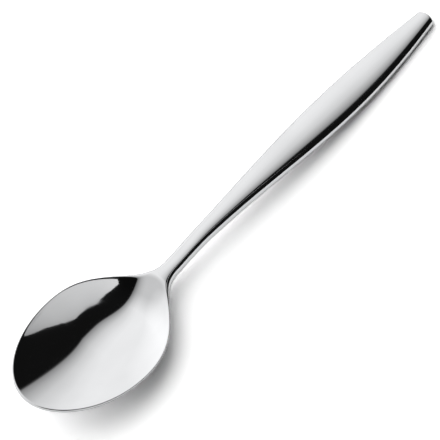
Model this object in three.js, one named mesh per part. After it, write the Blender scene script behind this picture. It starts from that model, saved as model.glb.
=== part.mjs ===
// Coffee spoon in polished stainless steel, one piece, lying on its belly and its handle's end.
// Millimetres, +Z up. +X runs from the bowl to the handle's end, and the table is at z = 0.
// Inside this file x is counted from the bowl's tip, and the mesh is moved to its middle at the end.
import * as THREE from 'three';

// Places along the spoon, from the bowl's tip
const LENGTH = 135;
const BOWL_WIDEST_AT = 22.1;
const BOWL_LENGTH = 42.2; // where the bowl's outline would close if there were no handle
const DEEPEST_AT = 21.8; // where the hollow's ramp from the tip ends
const HOLLOW_LENGTH = 42.8; // where the hollow ends at the shoulder
const DIP_FROM = 26; // where the rim begins to fall towards the shoulder
const DIP_AT = 43; // the lowest place between the bowl and the neck
const NECK_AT = 49.5; // the narrowest place
const DIP_TO = 58; // where the neck has risen again
const HANDLE_WIDEST_AT = 103;

// Widths across
const BOWL_WIDTH = 28.1;
const NECK_WIDTH = 4;
const HANDLE_WIDTH = 8.8;
const END_WIDTH = 4.2;

// Thicknesses of the metal
const RIM_THICKNESS = 1.3;
const BELLY_THICKNESS = 1.8;
const NECK_THICKNESS = 2.7;
const END_THICKNESS = 2.1;
const HANDLE_CROWN = 0.47; // how far the handle's top is domed, at its widest

// Depths and heights
const BOWL_DEPTH = 4.1; // from the rim to the bottom of the hollow
const TIP_RISE = 4.2; // how far the rim sweeps up from the neck to the tip
const SHOULDER_DIP = 1.1; // how far the shoulder lies below the neck
const REST_FLAT = 0.16; // what is polished off the belly and the handle's end to sit flat

// Roundings of the outline
const TIP_NARROWING = 0.055; // how much slimmer than half an ellipse the bowl's tip is, as a share
const SHOULDER_BLEND = 13.5; // the reach of the fillet between the bowl and the neck
const END_ROUNDING = 0.9; // length over which the handle's end rounds off

// Characters of the curves, without a unit
const FRONT_BEND = 0.38; // how gently the hollow's floor turns up into the ramp to the tip
const REAR_FULLNESS = 6.3; // a power: the higher, the nearer to the shoulder the hollow stays deep
const RIM_SQUARENESS = 3.5; // a power: 2 is a half round edge, more has flatter sides

// Facets of the loft
const FRONT_SECTIONS = 16;
const SHOULDER_SECTIONS = 20;
const HANDLE_SECTIONS = 36;
const END_SECTIONS = 5;
const POINTS_AROUND = 48;

// A step from 0 to 1 whose slope and bend are zero at both ends
function easeStep(share) {
  const t = THREE.MathUtils.clamp(share, 0, 1);
  return t ** 3 * (10 - 15 * t + 6 * t * t);
}

// The larger of two curves, with the corner between them filled smoothly
function filletedMax(a, b, reach) {
  const nearness = Math.max(reach - Math.abs(a - b), 0) / reach;
  return Math.max(a, b) + (nearness ** 3 * reach) / 6;
}

// Bowl outline: half an ellipse, slimmer at the tip, and behind the widest place a cubic of the same bend
function bowlHalfWidth(x) {
  if (x < BOWL_WIDEST_AT) {
    const ahead = 1 - x / BOWL_WIDEST_AT;
    const ellipse = Math.sqrt(Math.max(1 - ahead * ahead, 0));
    return (BOWL_WIDTH / 2) * ellipse * (1 - TIP_NARROWING * ahead * ahead);
  }
  const behind = x - BOWL_WIDEST_AT;
  const rearLength = BOWL_LENGTH - BOWL_WIDEST_AT;
  const bend = (0.5 + TIP_NARROWING) / BOWL_WIDEST_AT ** 2;
  const pinch = (1 - bend * rearLength ** 2) / rearLength ** 3;
  return (BOWL_WIDTH / 2) * (1 - bend * behind ** 2 - pinch * behind ** 3);
}

// Handle outline: it swells from the neck to its widest place, tapers on, and rounds off at the end
function handleHalfWidth(x) {
  const swell = (HANDLE_WIDTH - NECK_WIDTH) / 2;
  const swellLength = HANDLE_WIDEST_AT - NECK_AT;
  if (x < HANDLE_WIDEST_AT) {
    const t = Math.max((x - NECK_AT) / swellLength, 0);
    return NECK_WIDTH / 2 + swell * t * t * (3 - 2 * t);
  }
  const past = x - HANDLE_WIDEST_AT;
  const tail = LENGTH - HANDLE_WIDEST_AT;
  const bend = (3 * swell) / swellLength ** 2;
  const pinch = ((HANDLE_WIDTH - END_WIDTH) / 2 - bend * tail ** 2) / tail ** 3;
  const taper = HANDLE_WIDTH / 2 - bend * past ** 2 - pinch * past ** 3;
  const intoEnd = THREE.MathUtils.clamp((x - LENGTH) / END_ROUNDING + 1, 0, 1);
  return taper * Math.sqrt(1 - intoEnd * intoEnd);
}

function halfWidth(x) {
  if (x < BOWL_WIDEST_AT) return bowlHalfWidth(x);
  return filletedMax(bowlHalfWidth(x), handleHalfWidth(x), SHOULDER_BLEND);
}

// 0 in the bowl, 1 from the neck on
function shankShare(x) {
  return easeStep((x - BOWL_WIDEST_AT) / (NECK_AT - BOWL_WIDEST_AT));
}

// 0 up to the neck, 1 at the handle's end
function handleShare(x) {
  return easeStep((x - NECK_AT) / (LENGTH - NECK_AT));
}

// Half the metal's thickness inside the edge rounding
function halfThickness(x) {
  const toNeck = (NECK_THICKNESS - RIM_THICKNESS) * shankShare(x);
  const toEnd = (END_THICKNESS - NECK_THICKNESS) * handleShare(x);
  return (RIM_THICKNESS + toNeck + toEnd) / 2;
}

// How hollow the bowl is along its middle: a rounded ramp from the tip, then level, 0 past the shoulder
function hollowShare(x) {
  const ahead = Math.max(1 - x / DEEPEST_AT, 0);
  const ramp = (Math.hypot(ahead, FRONT_BEND) - FRONT_BEND) / (Math.hypot(1, FRONT_BEND) - FRONT_BEND);
  const behind = THREE.MathUtils.clamp((x - DEEPEST_AT) / (HOLLOW_LENGTH - DEEPEST_AT), 0, 1);
  return (1 - ramp) * (1 - behind ** REAR_FULLNESS) ** 2;
}

// Places of the loft's sections: closer together where the outline turns at the tip and at the end
function sectionPlaces() {
  const places = [];
  for (let i = 1; i <= FRONT_SECTIONS; i++) {
    places.push(BOWL_WIDEST_AT * (1 - Math.cos((Math.PI / 2) * (i / FRONT_SECTIONS))));
  }
  for (let i = 1; i <= SHOULDER_SECTIONS; i++) {
    places.push(BOWL_WIDEST_AT + (NECK_AT - BOWL_WIDEST_AT) * (i / SHOULDER_SECTIONS));
  }
  const endStart = LENGTH - END_ROUNDING;
  for (let i = 1; i <= HANDLE_SECTIONS; i++) {
    places.push(NECK_AT + (endStart - NECK_AT) * (i / HANDLE_SECTIONS));
  }
  for (let i = 1; i < END_SECTIONS; i++) {
    places.push(endStart + END_ROUNDING * Math.sin((Math.PI / 2) * (i / END_SECTIONS)));
  }
  return places;
}

// How far the middle of the edge sweeps up towards the tip
function tipSweep(x) {
  return TIP_RISE * Math.max(1 - x / NECK_AT, 0) ** 3;
}

// How far it dips at the shoulder before it rises into the neck
function shoulderDip(x) {
  const down = easeStep((x - DIP_FROM) / (DIP_AT - DIP_FROM));
  const up = easeStep((x - DIP_AT) / (DIP_TO - DIP_AT));
  return SHOULDER_DIP * (down - up);
}

// How far the belly hangs below the neck's edge
const outerDepth = BOWL_DEPTH + BELLY_THICKNESS - RIM_THICKNESS;

function bellyDrop(x) {
  return halfThickness(x) + outerDepth * hollowShare(x) - tipSweep(x) + shoulderDip(x);
}

// Height of the middle of the edge: up at the tip, down at the shoulder, up in the neck, down at the end.
// The neck is as high as brings the belly's lowest place down to the table.
const neckHeight = Math.max(...sectionPlaces().map(bellyDrop)) - REST_FLAT;
const endHeight = END_THICKNESS / 2 - REST_FLAT;

function edgeHeight(x) {
  return neckHeight + tipSweep(x) - shoulderDip(x) + (endHeight - neckHeight) * handleShare(x);
}

// Distance in from the outline, to first order
const SLOPE_STEP = 0.01;

function distanceFromEdge(x, y) {
  const inside = halfWidth(x) ** 2 - y * y;
  const alongSlope = (halfWidth(x + SLOPE_STEP) ** 2 - halfWidth(x - SLOPE_STEP) ** 2) / (2 * SLOPE_STEP);
  return inside / Math.hypot(alongSlope, 2 * y);
}

// The edge goes from nothing at the outline to half the thickness inside it: a half round on the
// handle, squarer on the bowl's rim
function edgeRound(x, y) {
  const thickness = halfThickness(x);
  const fromMiddle = 1 - THREE.MathUtils.clamp(distanceFromEdge(x, y) / thickness, 0, 1);
  const squareness = RIM_SQUARENESS + (2 - RIM_SQUARENESS) * shankShare(x);
  return thickness * (1 - fromMiddle ** squareness) ** (1 / squareness);
}

function topHeight(x, y) {
  const width = halfWidth(x);
  const crown = HANDLE_CROWN * Math.sqrt(width / (HANDLE_WIDTH / 2)) * shankShare(x);
  const across = 1 - (y / width) ** 2;
  const dome = crown * (1 - hollowShare(x)) - BOWL_DEPTH * hollowShare(x);
  return edgeHeight(x) + edgeRound(x, y) + across * dome;
}

function undersideHeight(x, y) {
  const across = 1 - (y / halfWidth(x)) ** 2;
  return Math.max(edgeHeight(x) - edgeRound(x, y) - across * outerDepth * hollowShare(x), 0);
}

// One closed section: over the top from +Y to -Y, and back along the underside
function sectionPoints(x) {
  const points = [];
  for (let j = 0; j < POINTS_AROUND; j++) {
    const turn = (2 * Math.PI * j) / POINTS_AROUND;
    const y = halfWidth(x) * Math.cos(turn);
    const onEdge = j === 0 || 2 * j === POINTS_AROUND;
    let z = edgeHeight(x);
    if (!onEdge) z = 2 * j < POINTS_AROUND ? topHeight(x, y) : undersideHeight(x, y);
    points.push(x, y, z);
  }
  return points;
}

// Loft through the sections, closed by a point at the bowl's tip and one at the handle's end
function loftedSkin() {
  const places = sectionPlaces();
  const positions = [0, 0, edgeHeight(0)];
  for (const x of places) positions.push(...sectionPoints(x));
  positions.push(LENGTH, 0, edgeHeight(LENGTH));

  const triangles = [];
  const vertex = (section, j) => 1 + section * POINTS_AROUND + (j % POINTS_AROUND);
  const lastSection = places.length - 1;
  const endPoint = 1 + places.length * POINTS_AROUND;
  for (let j = 0; j < POINTS_AROUND; j++) {
    triangles.push(0, vertex(0, j + 1), vertex(0, j));
    triangles.push(endPoint, vertex(lastSection, j), vertex(lastSection, j + 1));
    for (let i = 0; i < lastSection; i++) {
      triangles.push(vertex(i, j), vertex(i + 1, j + 1), vertex(i + 1, j));
      triangles.push(vertex(i, j), vertex(i, j + 1), vertex(i + 1, j + 1));
    }
  }

  const skin = new THREE.BufferGeometry();
  skin.setAttribute('position', new THREE.Float32BufferAttribute(positions, 3));
  skin.setIndex(triangles);
  skin.computeVertexNormals();
  return skin;
}

const polishedSteel = new THREE.MeshStandardMaterial({ color: 0xc9cbcc, roughness: 0.08, metalness: 1 });

const spoon = new THREE.Mesh(loftedSkin(), polishedSteel);
spoon.name = 'coffee_spoon';
spoon.position.x = -LENGTH / 2;

const coffeeSpoon = new THREE.Group();
coffeeSpoon.add(spoon);

export default coffeeSpoon;
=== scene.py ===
"""Looks of the coffee spoon: a polished steel skin on a white table, in a dark studio with one softbox."""
from math import cos, pi, radians, sin

import bpy
from mathutils import Matrix, Vector


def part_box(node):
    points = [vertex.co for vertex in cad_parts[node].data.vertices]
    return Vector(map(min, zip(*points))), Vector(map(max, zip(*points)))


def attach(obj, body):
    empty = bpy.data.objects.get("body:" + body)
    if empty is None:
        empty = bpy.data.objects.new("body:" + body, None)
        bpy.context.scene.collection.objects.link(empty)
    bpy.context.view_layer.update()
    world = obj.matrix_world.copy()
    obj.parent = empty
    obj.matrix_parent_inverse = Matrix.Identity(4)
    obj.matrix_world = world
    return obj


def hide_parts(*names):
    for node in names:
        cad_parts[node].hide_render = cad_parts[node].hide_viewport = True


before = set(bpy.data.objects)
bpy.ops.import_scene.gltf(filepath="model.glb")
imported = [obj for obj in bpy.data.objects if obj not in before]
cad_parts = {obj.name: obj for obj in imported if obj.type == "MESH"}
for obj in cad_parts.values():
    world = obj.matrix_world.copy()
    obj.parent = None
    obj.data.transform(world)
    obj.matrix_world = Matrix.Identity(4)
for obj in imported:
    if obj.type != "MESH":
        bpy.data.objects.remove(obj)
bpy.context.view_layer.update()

MM = 0.001
NODE = "coffee_spoon"

# Sizes of the skin. x is counted from the bowl's tip, and the table is at z = 0
spoon_low, spoon_high = (Vector(corner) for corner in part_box(NODE))
SPOON_SIZES = {
    "Length": spoon_high.x - spoon_low.x,
    "Bowl width": spoon_high.y - spoon_low.y,
    "Bowl widest at": 22.1 * MM,
    "Bowl length": 42.2 * MM,
    "Tip narrowing": 0.055,
    "Bowl depth": 4.1 * MM,
    "Deepest at": 21.8 * MM,
    "Hollow length": 42.8 * MM,
    "Front bend": 0.38,
    "Rear fullness": 6.3,
    "Neck at": 49.5 * MM,
    "Neck width": 4 * MM,
    "Shoulder blend": 13.5 * MM,
    "Handle widest at": 103 * MM,
    "Handle width": 8.8 * MM,
    "Handle crown": 0.47 * MM,
    "End width": 4.2 * MM,
    "End rounding": 0.9 * MM,
    "Rim thickness": 1.3 * MM,
    "Rim squareness": 3.5,
    "Belly thickness": 1.8 * MM,
    "Neck thickness": 2.7 * MM,
    "End thickness": 2.1 * MM,
    "Tip rise": 4.2 * MM,
    "Shoulder dip": 1.1 * MM,
    "Dip from": 26 * MM,
    "Dip at": 43 * MM,
    "Dip to": 58 * MM,
    "Rest flat": 0.16 * MM,
}

# How finely the skin is divided and measured, and how near points have to be to merge
POINTS_ALONG = 601
POINTS_AROUND = 161
SLOPE_STEP = 0.02 * MM
MERGE_DISTANCE = 0.001 * MM

# Polished steel: tint and roughness over the middle of a broad noise, and fine hairlines along the spoon
GLOSS_STRETCH = (0.5, 1, 1)
GLOSS_SCALE = 140
GLOSS_DETAIL = 2
GLOSS_SPAN = (0.3, 0.7)
STEEL_TINTS = ((0.785, 0.79, 0.8, 1), (0.825, 0.83, 0.84, 1))
STEEL_ROUGHNESS = (0.03, 0.06)
HAIRLINE_STRETCH = (0.08, 1, 1)
HAIRLINE_SCALE = 9000
HAIRLINE_DETAIL = 3
HAIRLINE_STRENGTH = 0.02
HAIRLINE_DEPTH = 0.02 * MM

# The camera: where it looks from, the width that it sees, and the point that it aims at
VIEW_TURN = radians(50.1)
VIEW_ELEVATION = radians(58.12)
VIEW_DISTANCE = 1.0
VIEW_WIDTH = 95.03 * MM
VIEW_REFERENCE = Vector((-7.5 * MM, 0, 0))
VIEW_OFFSET_RIGHT = 1.85 * MM
VIEW_OFFSET_UP = 3.97 * MM

# The softbox fills the sky on the far side of a straight edge that passes almost overhead
SOFTBOX_EDGE_TILT = -0.092
SOFTBOX_EDGE_TURN = 0.28

# Its level by the sine of the angle beyond that edge
STUDIO_DARK = 0.006
SOFTBOX_LEVELS = (
    (0.0, STUDIO_DARK), (0.012, 0.05), (0.028, 0.3), (0.08, 0.48), (0.17, 0.74), (0.3, 0.93), (0.4, 1.0),
    (0.65, 1.02), (0.96, 1.31),
)

# The steel sees it fade towards the bowl's tip: over which x of the direction, and to which share
SOFTBOX_FADE = (-0.5, 0.2)
SOFTBOX_END = 0.66

# How many times as strong its light is on the table
TABLE_LIGHT = 2.0

# A pale card that the bowl's far wall mirrors. Its corners are places along the spoon and heights, in mm
CARD_PLANE = -40 * MM
CARD_OUTLINE = (
    (-65, 45), (-60, 65), (-20, 100), (0, 125), (30, 175), (60, 200),
    (50, 150), (65, 120), (95, 115), (95, 105), (-15, 70),
)

# The card's level, which changes between two places along the spoon
CARD_ENDS = (-60 * MM, 88 * MM)
CARD_LEVELS = (0.82, 0.37)

# The table: its white, how bright the camera and the steel see it, and how far it reaches each way
TABLE_WHITE = 0.95
TABLE_SHOWN = 1.5
TABLE_MIRRORED = 0.82
TABLE_REACH = 8.0


class Formula:
    """A number that a node puts out. Arithmetic on it adds Math nodes to its tree."""

    def __init__(self, tree, socket):
        self.tree = tree
        self.socket = socket

    def work(self, operation, *terms):
        node = self.tree.nodes.new("ShaderNodeMath")
        node.operation = operation
        for place, term in zip(node.inputs, terms):
            if isinstance(term, Formula):
                self.tree.links.new(term.socket, place)
            else:
                place.default_value = term
        return Formula(self.tree, node.outputs[0])

    def __add__(self, other):
        return self.work("ADD", self, other)

    def __radd__(self, other):
        return self.work("ADD", other, self)

    def __sub__(self, other):
        return self.work("SUBTRACT", self, other)

    def __rsub__(self, other):
        return self.work("SUBTRACT", other, self)

    def __mul__(self, other):
        return self.work("MULTIPLY", self, other)

    def __rmul__(self, other):
        return self.work("MULTIPLY", other, self)

    def __truediv__(self, other):
        return self.work("DIVIDE", self, other)

    def __pow__(self, exponent):
        return self.work("POWER", self, exponent)

    def root(self):
        return self.work("SQRT", self)

    def magnitude(self):
        return self.work("ABSOLUTE", self)

    def cosine(self):
        return self.work("COSINE", self)

    def sine(self):
        return self.work("SINE", self)

    def at_least(self, other):
        return self.work("MAXIMUM", self, other)

    def at_most(self, other):
        return self.work("MINIMUM", self, other)

    def share(self):
        return self.at_least(0).at_most(1)

    def above(self, other):
        return self.work("GREATER_THAN", self, other)


def ease_step(value):
    """A step from 0 to 1 whose slope and bend are zero at both ends."""
    t = value.share()
    return t ** 3 * (10 - 15 * t + 6 * t * t)


def filleted_larger(a, b, reach):
    """The larger of two curves, with the corner between them filled smoothly."""
    nearness = (reach - (a - b).magnitude()).at_least(0) / reach
    return a.at_least(b) + nearness ** 3 * reach / 6


def bowl_half_width(x, size):
    """Half an ellipse, slimmer at the tip, and behind the widest place a cubic of the same bend."""
    widest_at = size["Bowl widest at"]
    narrowing = size["Tip narrowing"]
    ahead = (1 - x / widest_at).at_least(0)
    behind = (x - widest_at).at_least(0)
    rear_length = size["Bowl length"] - widest_at
    bend = (narrowing + 0.5) / widest_at ** 2
    pinch = (1 - bend * rear_length ** 2) / rear_length ** 3
    front = (1 - ahead ** 2).at_least(0).root() * (1 - narrowing * ahead ** 2)
    rear = 1 - bend * behind ** 2 - pinch * behind ** 3
    return size["Bowl width"] / 2 * front * rear


def handle_half_width(x, size):
    """A swelling from the neck to the widest place, a taper, and a rounded end."""
    swell = (size["Handle width"] - size["Neck width"]) / 2
    swell_length = size["Handle widest at"] - size["Neck at"]
    t = ((x - size["Neck at"]) / swell_length).share()
    past = (x - size["Handle widest at"]).at_least(0)
    tail = size["Length"] - size["Handle widest at"]
    bend = 3 * swell / swell_length ** 2
    pinch = ((size["Handle width"] - size["End width"]) / 2 - bend * tail ** 2) / tail ** 3
    swelling = size["Neck width"] / 2 + swell * t * t * (3 - 2 * t)
    into_end = ((x - size["Length"]) / size["End rounding"] + 1).share()
    return (swelling - bend * past ** 2 - pinch * past ** 3) * (1 - into_end ** 2).at_least(0).root()


def half_width(x, size):
    """The bowl's outline, which runs into the handle's behind the bowl's widest place."""
    bowl = bowl_half_width(x, size)
    joined = filleted_larger(bowl, handle_half_width(x, size), size["Shoulder blend"])
    return bowl + (joined - bowl) * x.above(size["Bowl widest at"])


def hollow_share(x, size):
    """How hollow the bowl's middle is: 1 at the deepest place, 0 at the tip and past the shoulder."""
    ahead = (1 - x / size["Deepest at"]).at_least(0)
    bend = size["Front bend"]
    ramp = ((ahead ** 2 + bend ** 2).root() - bend) / ((1 + bend ** 2).root() - bend)
    behind = ((x - size["Deepest at"]) / (size["Hollow length"] - size["Deepest at"])).share()
    return (1 - ramp) * (1 - behind ** size["Rear fullness"]) ** 2


def skin_point(along, turn, size, largest):
    """The place on the skin for a share along the spoon and an angle around it: over the top, then below."""
    x = size["Length"] * (1 - (along * pi).cosine()) / 2
    width = half_width(x, size)
    y = width * turn.cosine() * -1
    across = turn.sine() ** 2

    shank = ease_step((x - size["Bowl widest at"]) / (size["Neck at"] - size["Bowl widest at"]))
    down_handle = ease_step((x - size["Neck at"]) / (size["Length"] - size["Neck at"]))
    hollow = hollow_share(x, size)

    to_neck = (size["Neck thickness"] - size["Rim thickness"]) * shank
    to_end = (size["End thickness"] - size["Neck thickness"]) * down_handle
    half_thickness = (size["Rim thickness"] + to_neck + to_end) / 2

    outer_depth = size["Bowl depth"] + size["Belly thickness"] - size["Rim thickness"]
    down = ease_step((x - size["Dip from"]) / (size["Dip at"] - size["Dip from"]))
    up = ease_step((x - size["Dip at"]) / (size["Dip to"] - size["Dip at"]))
    dip = size["Shoulder dip"] * (down - up)
    sweep = size["Tip rise"] * (1 - x / size["Neck at"]).at_least(0) ** 3 - dip
    neck_height = largest(half_thickness + outer_depth * hollow - sweep) - size["Rest flat"]
    end_height = size["End thickness"] / 2 - size["Rest flat"]
    edge = neck_height + sweep + (end_height - neck_height) * down_handle

    ahead = half_width(x + SLOPE_STEP, size) ** 2
    behind = half_width(x - SLOPE_STEP, size) ** 2
    along_slope = (ahead - behind) / (2 * SLOPE_STEP)
    steepness = (along_slope ** 2 + 4 * y ** 2).root().at_least(MERGE_DISTANCE)
    from_edge = width ** 2 * across / steepness
    from_middle = 1 - (from_edge / half_thickness).share()
    squareness = size["Rim squareness"] + (2 - size["Rim squareness"]) * shank
    rounding = half_thickness * (1 - from_middle ** squareness).at_least(0) ** squareness ** -1

    crown = size["Handle crown"] * (2 * width / size["Handle width"]).root() * shank
    dome = crown * (1 - hollow) - size["Bowl depth"] * hollow
    top = edge + rounding + across * dome
    underside = (edge - rounding - across * outer_depth * hollow).at_least(0)
    z = underside + (top - underside) * turn.sine().above(0)
    return x - size["Length"] / 2, y, z


def spoon_skin_tree(steel):
    """Geometry Nodes: a grid wrapped into the closed skin, its seam and its two ends merged."""
    tree = bpy.data.node_groups.new("spoon_skin", "GeometryNodeTree")
    for name, value in SPOON_SIZES.items():
        socket = tree.interface.new_socket(name=name, in_out="INPUT", socket_type="NodeSocketFloat")
        socket.default_value = value
    tree.interface.new_socket(name="Skin", in_out="OUTPUT", socket_type="NodeSocketGeometry")

    inputs = tree.nodes.new("NodeGroupInput")
    size = {name: Formula(tree, inputs.outputs[name]) for name in SPOON_SIZES}

    grid = tree.nodes.new("GeometryNodeMeshGrid")
    grid.inputs["Size X"].default_value = 1
    grid.inputs["Size Y"].default_value = 1
    grid.inputs["Vertices X"].default_value = POINTS_ALONG
    grid.inputs["Vertices Y"].default_value = POINTS_AROUND

    # The grid runs from -0.5 to 0.5 both ways
    position = tree.nodes.new("GeometryNodeInputPosition")
    apart = tree.nodes.new("ShaderNodeSeparateXYZ")
    tree.links.new(position.outputs["Position"], apart.inputs["Vector"])
    along = Formula(tree, apart.outputs["X"]) + 0.5
    turn = (Formula(tree, apart.outputs["Y"]) + 0.5) * (2 * pi)

    def largest(formula):
        statistic = tree.nodes.new("GeometryNodeAttributeStatistic")
        tree.links.new(grid.outputs["Mesh"], statistic.inputs["Geometry"])
        tree.links.new(formula.socket, statistic.inputs["Attribute"])
        return Formula(tree, statistic.outputs["Max"])

    together = tree.nodes.new("ShaderNodeCombineXYZ")
    for axis, coordinate in zip("XYZ", skin_point(along, turn, size, largest)):
        tree.links.new(coordinate.socket, together.inputs[axis])

    wrap = tree.nodes.new("GeometryNodeSetPosition")
    tree.links.new(together.outputs["Vector"], wrap.inputs["Position"])
    merge = tree.nodes.new("GeometryNodeMergeByDistance")
    merge.inputs["Distance"].default_value = MERGE_DISTANCE
    smooth = tree.nodes.new("GeometryNodeSetShadeSmooth")
    realize = tree.nodes.new("GeometryNodeRealizeInstances")
    finish = tree.nodes.new("GeometryNodeSetMaterial")
    finish.inputs["Material"].default_value = steel
    outputs = tree.nodes.new("NodeGroupOutput")

    steps = (grid, wrap, merge, smooth, realize, finish, outputs)
    for before, after in zip(steps, steps[1:]):
        tree.links.new(before.outputs[0], after.inputs[0])
    return tree


def plain_mesh_object(name, tree, values):
    """Runs a Geometry Nodes tree once and keeps its result as a plain mesh."""
    maker = bpy.data.objects.new(name + "_maker", bpy.data.meshes.new(name + "_maker"))
    bpy.context.collection.objects.link(maker)
    modifier = maker.modifiers.new("Skin", "NODES")
    modifier.node_group = tree
    for item in tree.interface.items_tree:
        if item.in_out == "INPUT":
            modifier[item.identifier] = float(values[item.name])
    evaluated = maker.evaluated_get(bpy.context.evaluated_depsgraph_get())
    mesh = bpy.data.meshes.new_from_object(evaluated)
    mesh.name = name
    bpy.data.objects.remove(maker)
    piece = bpy.data.objects.new(name, mesh)
    bpy.context.collection.objects.link(piece)
    return piece


def new_material(name):
    """A material with nothing but its output, and the tree to add to."""
    material = bpy.data.materials.new(name)
    material.use_nodes = True
    tree = material.node_tree
    tree.nodes.clear()
    output = tree.nodes.new("ShaderNodeOutputMaterial")
    return material, tree, output


def map_range(tree, value, low, high, span=(0, 1)):
    """Turns a value that runs over a span into one that runs from low to high. Low may be a socket."""
    node = tree.nodes.new("ShaderNodeMapRange")
    node.inputs["From Min"].default_value, node.inputs["From Max"].default_value = span
    node.inputs["To Max"].default_value = high
    if isinstance(low, bpy.types.NodeSocket):
        tree.links.new(low, node.inputs["To Min"])
    else:
        node.inputs["To Min"].default_value = low
    tree.links.new(value, node.inputs["Value"])
    return node.outputs["Result"]


def polished_steel():
    """Mirror-polished steel, with hairlines from the polishing wheel and faint changes in gloss."""
    material, tree, output = new_material("polished_steel")
    shader = tree.nodes.new("ShaderNodeBsdfPrincipled")
    shader.inputs["Metallic"].default_value = 1.0
    tree.links.new(shader.outputs["BSDF"], output.inputs["Surface"])
    place = tree.nodes.new("ShaderNodeTexCoord")

    def noise(stretch, scale, detail):
        mapping = tree.nodes.new("ShaderNodeMapping")
        mapping.inputs["Scale"].default_value = stretch
        tree.links.new(place.outputs["Object"], mapping.inputs["Vector"])
        texture = tree.nodes.new("ShaderNodeTexNoise")
        texture.inputs["Scale"].default_value = scale
        texture.inputs["Detail"].default_value = detail
        tree.links.new(mapping.outputs["Vector"], texture.inputs["Vector"])
        return texture.outputs["Fac"]

    gloss = noise(GLOSS_STRETCH, GLOSS_SCALE, GLOSS_DETAIL)
    tint = tree.nodes.new("ShaderNodeValToRGB")
    for element, position, colour in zip(tint.color_ramp.elements, GLOSS_SPAN, STEEL_TINTS):
        element.position = position
        element.color = colour
    tree.links.new(gloss, tint.inputs["Fac"])
    tree.links.new(tint.outputs["Color"], shader.inputs["Base Color"])
    roughness = map_range(tree, gloss, *STEEL_ROUGHNESS, span=GLOSS_SPAN)
    tree.links.new(roughness, shader.inputs["Roughness"])

    hairlines = noise(HAIRLINE_STRETCH, HAIRLINE_SCALE, HAIRLINE_DETAIL)
    bump = tree.nodes.new("ShaderNodeBump")
    bump.inputs["Strength"].default_value = HAIRLINE_STRENGTH
    bump.inputs["Distance"].default_value = HAIRLINE_DEPTH
    tree.links.new(hairlines, bump.inputs["Height"])
    tree.links.new(bump.outputs["Normal"], shader.inputs["Normal"])
    return material


def stage_sheet(name, corners, material):
    """A flat sheet on the stage, with straight edges between its corners."""
    mesh = bpy.data.meshes.new(name)
    mesh.from_pydata(corners, [], [tuple(range(len(corners)))])
    mesh.materials.append(material)
    sheet = bpy.data.objects.new(name, mesh)
    bpy.context.collection.objects.link(sheet)
    return sheet


def white_table():
    """A white table. The camera sees it overexposed, so that only the shadow's core shows."""
    material, tree, output = new_material("white_table")
    ray = tree.nodes.new("ShaderNodeLightPath").outputs
    mirrored = map_range(tree, ray["Is Glossy Ray"], TABLE_WHITE, TABLE_MIRRORED)
    shown = map_range(tree, ray["Is Camera Ray"], mirrored, TABLE_SHOWN)
    diffuse = tree.nodes.new("ShaderNodeBsdfDiffuse")
    tree.links.new(shown, diffuse.inputs["Color"])
    tree.links.new(diffuse.outputs["BSDF"], output.inputs["Surface"])
    square = ((-1, -1), (1, -1), (1, 1), (-1, 1))
    stage_sheet("table", [(x * TABLE_REACH, y * TABLE_REACH, 0) for x, y in square], material)


def pale_card():
    """A glowing card that the camera doesn't see, and that neither lights nor shades the table."""
    material, tree, output = new_material("pale_card")
    place = tree.nodes.new("ShaderNodeTexCoord")
    apart = tree.nodes.new("ShaderNodeSeparateXYZ")
    tree.links.new(place.outputs["Object"], apart.inputs["Vector"])
    level = map_range(tree, apart.outputs["X"], *CARD_LEVELS, span=CARD_ENDS)
    glow = tree.nodes.new("ShaderNodeEmission")
    tree.links.new(level, glow.inputs["Strength"])
    tree.links.new(glow.outputs["Emission"], output.inputs["Surface"])
    card = stage_sheet("pale_card", [(x * MM, CARD_PLANE, z * MM) for x, z in CARD_OUTLINE], material)
    card.visible_camera = False
    card.visible_diffuse = False
    card.visible_shadow = False


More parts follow.
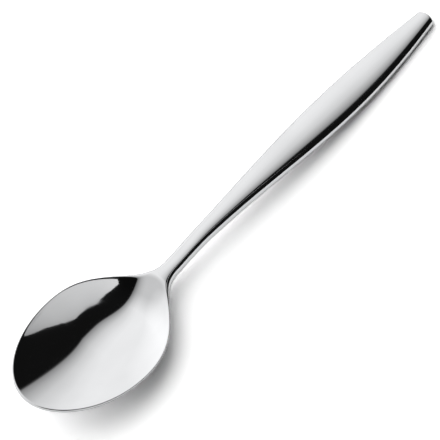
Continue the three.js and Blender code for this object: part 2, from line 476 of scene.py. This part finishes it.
def studio_world():
    """White for the camera, and around the spoon a dark studio with one softbox."""
    world = bpy.data.worlds.new("studio")
    bpy.context.scene.world = world
    world.use_nodes = True
    world.cycles.sampling_method = "NONE"
    tree = world.node_tree
    tree.nodes.clear()
    direction = tree.nodes.new("ShaderNodeTexCoord").outputs["Generated"]
    ray = tree.nodes.new("ShaderNodeLightPath").outputs

    beyond_edge = tree.nodes.new("ShaderNodeVectorMath")
    beyond_edge.operation = "DOT_PRODUCT"
    tree.links.new(direction, beyond_edge.inputs[0])
    edge_normal = Vector((-SOFTBOX_EDGE_TURN, 1, -SOFTBOX_EDGE_TILT)).normalized()
    beyond_edge.inputs[1].default_value = edge_normal

    ramp = tree.nodes.new("ShaderNodeValToRGB")
    elements = ramp.color_ramp.elements
    while len(elements) < len(SOFTBOX_LEVELS):
        elements.new(1)
    for element, (place, level) in zip(elements, SOFTBOX_LEVELS):
        element.position = place
        element.color = (level, level, level, 1)
    tree.links.new(beyond_edge.outputs["Value"], ramp.inputs["Fac"])

    # The fade is for the steel: light that falls straight on the table has none
    apart = tree.nodes.new("ShaderNodeSeparateXYZ")
    tree.links.new(direction, apart.inputs["Vector"])
    fade_end = map_range(tree, ray["Is Diffuse Ray"], SOFTBOX_END, 1)
    fade = map_range(tree, apart.outputs["X"], fade_end, 1, span=SOFTBOX_FADE)
    softbox = Formula(tree, ramp.outputs["Color"]) * Formula(tree, fade)

    background = tree.nodes.new("ShaderNodeBackground")
    seen = map_range(tree, ray["Is Camera Ray"], softbox.socket, 1)
    tree.links.new(seen, background.inputs["Color"])
    strength = map_range(tree, ray["Is Diffuse Ray"], 1, TABLE_LIGHT)
    tree.links.new(strength, background.inputs["Strength"])
    output = tree.nodes.new("ShaderNodeOutputWorld")
    tree.links.new(background.outputs["Background"], output.inputs["Surface"])


def camera():
    """The camera at the photo's viewing angle, aimed so that the spoon lies where the photo has it."""
    ahead = Vector((sin(VIEW_TURN), cos(VIEW_TURN), 0))
    right = Vector((cos(VIEW_TURN), -sin(VIEW_TURN), 0))
    forward = ahead * cos(VIEW_ELEVATION) - Vector((0, 0, sin(VIEW_ELEVATION)))
    up = right.cross(forward)
    aim = VIEW_REFERENCE + right * VIEW_OFFSET_RIGHT + up * VIEW_OFFSET_UP

    view = bpy.data.cameras.new("camera")
    view.lens = view.sensor_width * VIEW_DISTANCE / VIEW_WIDTH
    camera_object = bpy.data.objects.new("camera", view)
    bpy.context.collection.objects.link(camera_object)
    turned = Matrix((right, up, -forward)).transposed().to_4x4()
    camera_object.matrix_world = Matrix.Translation(aim - forward * VIEW_DISTANCE) @ turned
    bpy.context.scene.camera = camera_object


def spoon():
    """The steel skin, which is shown in place of the solid."""
    piece = plain_mesh_object("spoon_skin", spoon_skin_tree(polished_steel()), SPOON_SIZES)
    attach(piece, "root")
    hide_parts(NODE)


camera()
spoon()
white_table()
pale_card()
studio_world()
bpy.context.scene.view_settings.view_transform = "Standard"
